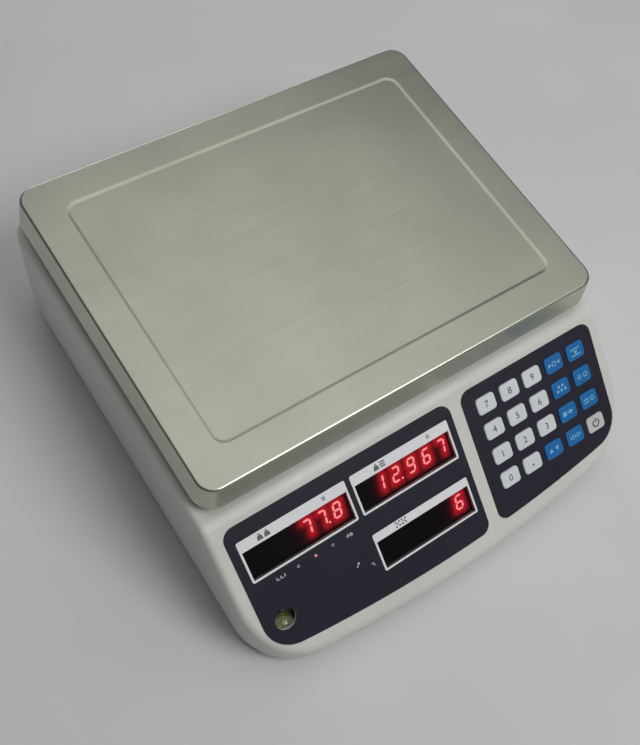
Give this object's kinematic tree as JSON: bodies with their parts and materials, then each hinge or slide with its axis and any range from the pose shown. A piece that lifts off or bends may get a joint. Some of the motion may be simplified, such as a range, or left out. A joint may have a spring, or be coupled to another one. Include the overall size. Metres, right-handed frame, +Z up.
{
  "type": "counting scale",
  "caption": "Bench counting scale: a stainless pan on a load cell in a plastic case, with a sloped console of LED displays and keys.",
  "frame": {"origin": "on the table under the middle of the whole scale", "axes": "+X to the right as the user faces the console, +Y from the console towards the rear, +Z up"},
  "size_m": [0.302, 0.327, 0.118],
  "materials": {
    "case_plastic": "light satin grain",
    "stainless": "satin",
    "overlay_film": "fine textured film with smoked clear windows",
    "key_white": "satin",
    "key_blue": "satin",
    "key_grey": "satin",
    "led_module": "smooth, with red segments",
    "circuit_board": "solder mask",
    "vial": "clear acrylic with green fluid",
    "rubber": "matte",
    "zinc_steel": "zinc plated",
    "plated_steel": "plated sheet",
    "load_cell_aluminium": "machined",
    "cast_aluminium": "as cast",
    "battery_case": "moulded",
    "black_plastic": "moulded"
  },
  "bodies": {
    "base": {"bottom_case": "case_plastic", "top_case": "case_plastic", "case_screw_1": "zinc_steel", "case_screw_2": "zinc_steel", "case_screw_3": "zinc_steel", "case_screw_4": "zinc_steel", "chassis_plate": "plated_steel", "load_cell": "load_cell_aluminium", "cell_screw_fixed_1": "zinc_steel", "cell_screw_fixed_2": "zinc_steel", "display_overlay": "overlay_film", "keypad_overlay": "overlay_film", "display_board": "circuit_board", "led_weight": "led_module", "led_unit_weight": "led_module", "led_count": "led_module", "level_vial": "vial", "keypad_board": "circuit_board", "main_board": "circuit_board", "battery": "battery_case", "transformer": "plated_steel", "power_inlet": "black_plastic"},
    "platform": {"spider": "cast_aluminium", "pan_bumper_1": "rubber", "pan_bumper_2": "rubber", "pan_bumper_3": "rubber", "pan_bumper_4": "rubber", "cell_screw_free_1": "zinc_steel", "cell_screw_free_2": "zinc_steel"},
    "pan": {"pan": "stainless"},
    "battery_door": {"battery_door": "case_plastic"},
    "key_7": {"key_7": "key_white"},
    "key_8": {"key_8": "key_white"},
    "key_9": {"key_9": "key_white"},
    "key_function_1": {"key_function_1": "key_blue"},
    "key_function_2": {"key_function_2": "key_blue"},
    "key_4": {"key_4": "key_white"},
    "key_5": {"key_5": "key_white"},
    "key_6": {"key_6": "key_white"},
    "key_function_3": {"key_function_3": "key_blue"},
    "key_function_4": {"key_function_4": "key_blue"},
    "key_1": {"key_1": "key_white"},
    "key_2": {"key_2": "key_white"},
    "key_3": {"key_3": "key_white"},
    "key_function_5": {"key_function_5": "key_blue"},
    "key_function_6": {"key_function_6": "key_blue"},
    "key_0": {"key_0": "key_white"},
    "key_point": {"key_point": "key_white"},
    "key_function_7": {"key_function_7": "key_blue"},
    "key_function_8": {"key_function_8": "key_blue"},
    "key_power": {"key_power": "key_grey"},
    "foot_pad_front_left": {"foot_pad_front_left": "rubber"},
    "foot_screw_front_left": {"foot_screw_front_left": "zinc_steel"},
    "foot_pad_front_right": {"foot_pad_front_right": "rubber"},
    "foot_screw_front_right": {"foot_screw_front_right": "zinc_steel"},
    "foot_pad_rear_left": {"foot_pad_rear_left": "rubber"},
    "foot_screw_rear_left": {"foot_screw_rear_left": "zinc_steel"},
    "foot_pad_rear_right": {"foot_pad_rear_right": "rubber"},
    "foot_screw_rear_right": {"foot_screw_rear_right": "zinc_steel"}
  },
  "joints": [
    {"name": "platform_deflection", "type": "slide", "parent": "base", "child": "platform", "axis": [0, 0, -1], "range_m": [0, 0.0004], "stiffness_N_per_m": 740000, "deforming": ["load_cell"]},
    {"name": "pan_lift", "type": "slide", "parent": "platform", "child": "pan", "axis": [0, 0, 1], "range_m": [0, 0.05]},
    {"name": "battery_door_slide", "type": "slide", "parent": "base", "child": "battery_door", "axis": [0, -1, 0], "range_m": [0, 0.01]},
    {"name": "key_7_press", "type": "slide", "parent": "base", "child": "key_7", "axis": [0, 0.6157, -0.788], "range_m": [0, 0.0005], "stiffness_N_per_m": 4000},
    {"name": "key_8_press", "type": "slide", "parent": "base", "child": "key_8", "axis": [0, 0.6157, -0.788], "range_m": [0, 0.0005], "stiffness_N_per_m": 4000},
    {"name": "key_9_press", "type": "slide", "parent": "base", "child": "key_9", "axis": [0, 0.6157, -0.788], "range_m": [0, 0.0005], "stiffness_N_per_m": 4000},
    {"name": "key_function_1_press", "type": "slide", "parent": "base", "child": "key_function_1", "axis": [0, 0.6157, -0.788], "range_m": [0, 0.0005], "stiffness_N_per_m": 4000},
    {"name": "key_function_2_press", "type": "slide", "parent": "base", "child": "key_function_2", "axis": [0, 0.6157, -0.788], "range_m": [0, 0.0005], "stiffness_N_per_m": 4000},
    {"name": "key_4_press", "type": "slide", "parent": "base", "child": "key_4", "axis": [0, 0.6157, -0.788], "range_m": [0, 0.0005], "stiffness_N_per_m": 4000},
    {"name": "key_5_press", "type": "slide", "parent": "base", "child": "key_5", "axis": [0, 0.6157, -0.788], "range_m": [0, 0.0005], "stiffness_N_per_m": 4000},
    {"name": "key_6_press", "type": "slide", "parent": "base", "child": "key_6", "axis": [0, 0.6157, -0.788], "range_m": [0, 0.0005], "stiffness_N_per_m": 4000},
    {"name": "key_function_3_press", "type": "slide", "parent": "base", "child": "key_function_3", "axis": [0, 0.6157, -0.788], "range_m": [0, 0.0005], "stiffness_N_per_m": 4000},
    {"name": "key_function_4_press", "type": "slide", "parent": "base", "child": "key_function_4", "axis": [0, 0.6157, -0.788], "range_m": [0, 0.0005], "stiffness_N_per_m": 4000},
    {"name": "key_1_press", "type": "slide", "parent": "base", "child": "key_1", "axis": [0, 0.6157, -0.788], "range_m": [0, 0.0005], "stiffness_N_per_m": 4000},
    {"name": "key_2_press", "type": "slide", "parent": "base", "child": "key_2", "axis": [0, 0.6157, -0.788], "range_m": [0, 0.0005], "stiffness_N_per_m": 4000},
    {"name": "key_3_press", "type": "slide", "parent": "base", "child": "key_3", "axis": [0, 0.6157, -0.788], "range_m": [0, 0.0005], "stiffness_N_per_m": 4000},
    {"name": "key_function_5_press", "type": "slide", "parent": "base", "child": "key_function_5", "axis": [0, 0.6157, -0.788], "range_m": [0, 0.0005], "stiffness_N_per_m": 4000},
    {"name": "key_function_6_press", "type": "slide", "parent": "base", "child": "key_function_6", "axis": [0, 0.6157, -0.788], "range_m": [0, 0.0005], "stiffness_N_per_m": 4000},
    {"name": "key_0_press", "type": "slide", "parent": "base", "child": "key_0", "axis": [0, 0.6157, -0.788], "range_m": [0, 0.0005], "stiffness_N_per_m": 4000},
    {"name": "key_point_press", "type": "slide", "parent": "base", "child": "key_point", "axis": [0, 0.6157, -0.788], "range_m": [0, 0.0005], "stiffness_N_per_m": 4000},
    {"name": "key_function_7_press", "type": "slide", "parent": "base", "child": "key_function_7", "axis": [0, 0.6157, -0.788], "range_m": [0, 0.0005], "stiffness_N_per_m": 4000},
    {"name": "key_function_8_press", "type": "slide", "parent": "base", "child": "key_function_8", "axis": [0, 0.6157, -0.788], "range_m": [0, 0.0005], "stiffness_N_per_m": 4000},
    {"name": "key_power_press", "type": "slide", "parent": "base", "child": "key_power", "axis": [0, 0.6157, -0.788], "range_m": [0, 0.0005], "stiffness_N_per_m": 4000},
    {"name": "foot_height_front_left", "type": "slide", "parent": "base", "child": "foot_pad_front_left", "axis": [0, 0, 1], "range_m": [-0.006, 0.004]},
    {"name": "foot_turn_front_left", "type": "hinge", "parent": "foot_pad_front_left", "child": "foot_screw_front_left", "pos_m": [-0.118, -0.118, 0], "axis": [0, 0, 1], "range_deg": [-2160, 1440]},
    {"name": "foot_height_front_right", "type": "slide", "parent": "base", "child": "foot_pad_front_right", "axis": [0, 0, 1], "range_m": [-0.006, 0.004]},
    {"name": "foot_turn_front_right", "type": "hinge", "parent": "foot_pad_front_right", "child": "foot_screw_front_right", "pos_m": [0.118, -0.118, 0], "axis": [0, 0, 1], "range_deg": [-2160, 1440]},
    {"name": "foot_height_rear_left", "type": "slide", "parent": "base", "child": "foot_pad_rear_left", "axis": [0, 0, 1], "range_m": [-0.006, 0.004]},
    {"name": "foot_turn_rear_left", "type": "hinge", "parent": "foot_pad_rear_left", "child": "foot_screw_rear_left", "pos_m": [-0.128, 0.14, 0], "axis": [0, 0, 1], "range_deg": [-2160, 1440]},
    {"name": "foot_height_rear_right", "type": "slide", "parent": "base", "child": "foot_pad_rear_right", "axis": [0, 0, 1], "range_m": [-0.006, 0.004]},
    {"name": "foot_turn_rear_right", "type": "hinge", "parent": "foot_pad_rear_right", "child": "foot_screw_rear_right", "pos_m": [0.128, 0.14, 0], "axis": [0, 0, 1], "range_deg": [-2160, 1440]}
  ],
  "couplings": [
    {"joint": "foot_turn_front_left", "follows": "foot_height_front_left", "rad_per_m": 6283.2},
    {"joint": "foot_turn_front_right", "follows": "foot_height_front_right", "rad_per_m": 6283.2},
    {"joint": "foot_turn_rear_left", "follows": "foot_height_rear_left", "rad_per_m": 6283.2},
    {"joint": "foot_turn_rear_right", "follows": "foot_height_rear_right", "rad_per_m": 6283.2}
  ]
}
